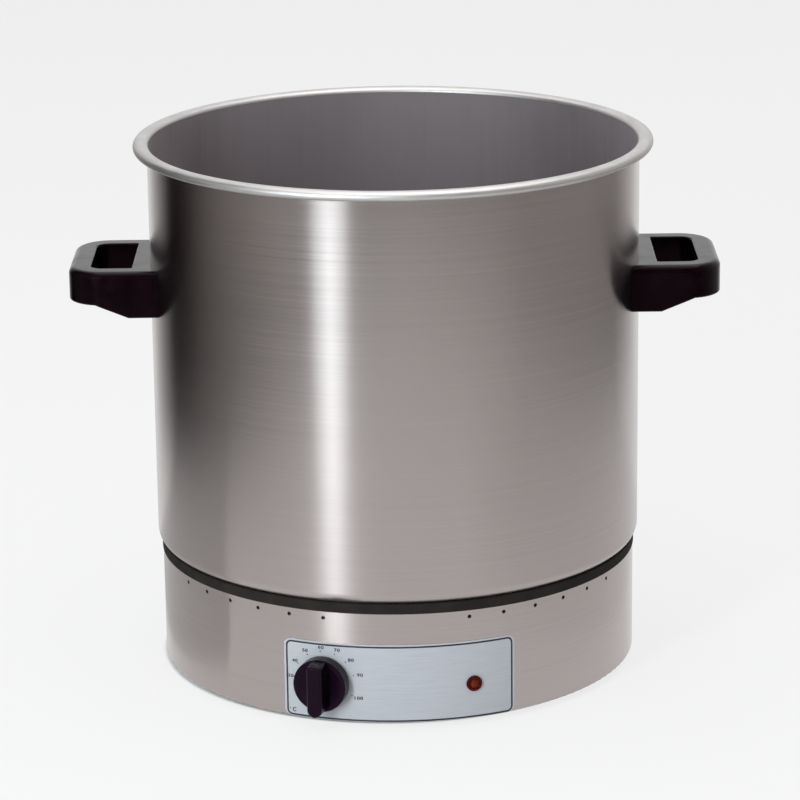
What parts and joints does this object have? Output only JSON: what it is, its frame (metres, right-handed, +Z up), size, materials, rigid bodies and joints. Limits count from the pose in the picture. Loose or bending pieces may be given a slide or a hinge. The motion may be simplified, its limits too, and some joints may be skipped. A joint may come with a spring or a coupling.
{
  "type": "candle wax melter",
  "caption": "Deep round steel pot on a heated base with a temperature dial, pilot lamp and two loop handles, for melting candle wax.",
  "frame": {"origin": "on the pot's axis, on the surface that the feet stand on", "axes": "+Z up along the pot's axis; the dial and lamp face -Y; the handles lie on the X axis"},
  "size_m": [0.4654, 0.373, 0.3867],
  "materials": {
    "pot_steel": "satin, brushed round the wall",
    "skirt_steel": "satin, brushed round the wall",
    "handle_plastic": "moulded, half gloss",
    "knob_plastic": "moulded, half gloss",
    "ring_plastic": "matt",
    "foot_rubber": "matt",
    "plated_steel": "zinc plated",
    "fastener_steel": "bright",
    "sheet_aluminium": "mill finish",
    "element_steel": "heat darkened",
    "white_ceramic": "matt",
    "bright_brass": "bright",
    "copper": "drawn copper",
    "switch_plastic": "moulded",
    "label_foil": "printed foil, silver grey",
    "lamp_amber": "clear, dark amber",
    "lamp_white": "moulded",
    "lamp_glass": "clear",
    "gland_plastic": "moulded",
    "wire_brown": "insulation",
    "wire_blue": "insulation",
    "wire_green": "insulation, green with a yellow stripe",
    "wire_white": "insulation"
  },
  "bodies": {
    "melter": {"base_plate": "plated_steel", "base_washer": "fastener_steel", "block_screws": "fastener_steel", "bulb_clip": "plated_steel", "bush_nut": "bright_brass", "capillary_tube": "copper", "centre_stud": "fastener_steel", "ceramic_beads": "white_ceramic", "cutout_plate": "plated_steel", "cutout_screws": "fastener_steel", "cutout_tabs": "bright_brass", "cutout_wire": "wire_brown", "earth_nut": "fastener_steel", "earth_stud": "fastener_steel", "earth_tag": "bright_brass", "earth_wire": "wire_green", "element_clamp": "plated_steel", "element_pins": "fastener_steel", "front_label": "label_foil", "gland_body": "gland_plastic", "gland_cap": "gland_plastic", "gland_nut": "gland_plastic", "gland_seal": "foot_rubber", "handle_screws": "fastener_steel", "heat_shield": "sheet_aluminium", "heat_spreader": "sheet_aluminium", "heater_wire": "wire_brown", "heating_element": "element_steel", "insulating_ring": "ring_plastic", "lamp_housing": "lamp_white", "lamp_leads": "wire_white", "lamp_lens": "lamp_amber", "lamp_neon": "lamp_glass", "lamp_push_nut": "fastener_steel", "left_handle": "handle_plastic", "left_handle_bracket": "plated_steel", "live_wire": "wire_brown", "neutral_wire": "wire_blue", "pot": "pot_steel", "right_handle": "handle_plastic", "right_handle_bracket": "plated_steel", "rubber_feet": "foot_rubber", "skirt": "skirt_steel", "stud_nuts": "fastener_steel", "terminal_block": "white_ceramic", "terminal_screws": "fastener_steel", "terminal_sleeves": "bright_brass", "thermal_cutout": "switch_plastic", "thermostat_body": "switch_plastic", "thermostat_bracket": "plated_steel", "thermostat_bulb": "copper", "thermostat_bush": "bright_brass", "thermostat_screws": "fastener_steel", "thermostat_tabs": "bright_brass"},
    "dial": {"knob": "knob_plastic", "dial_spindle": "fastener_steel", "knob_spring": "fastener_steel"}
  },
  "joints": [
    {"name": "dial_turn", "type": "hinge", "parent": "melter", "child": "dial", "pos_m": [-0.05282, -0.16453, 0.0333], "axis": [0.3057, 0.9521, 0], "range_deg": [0, 294]}
  ]
}
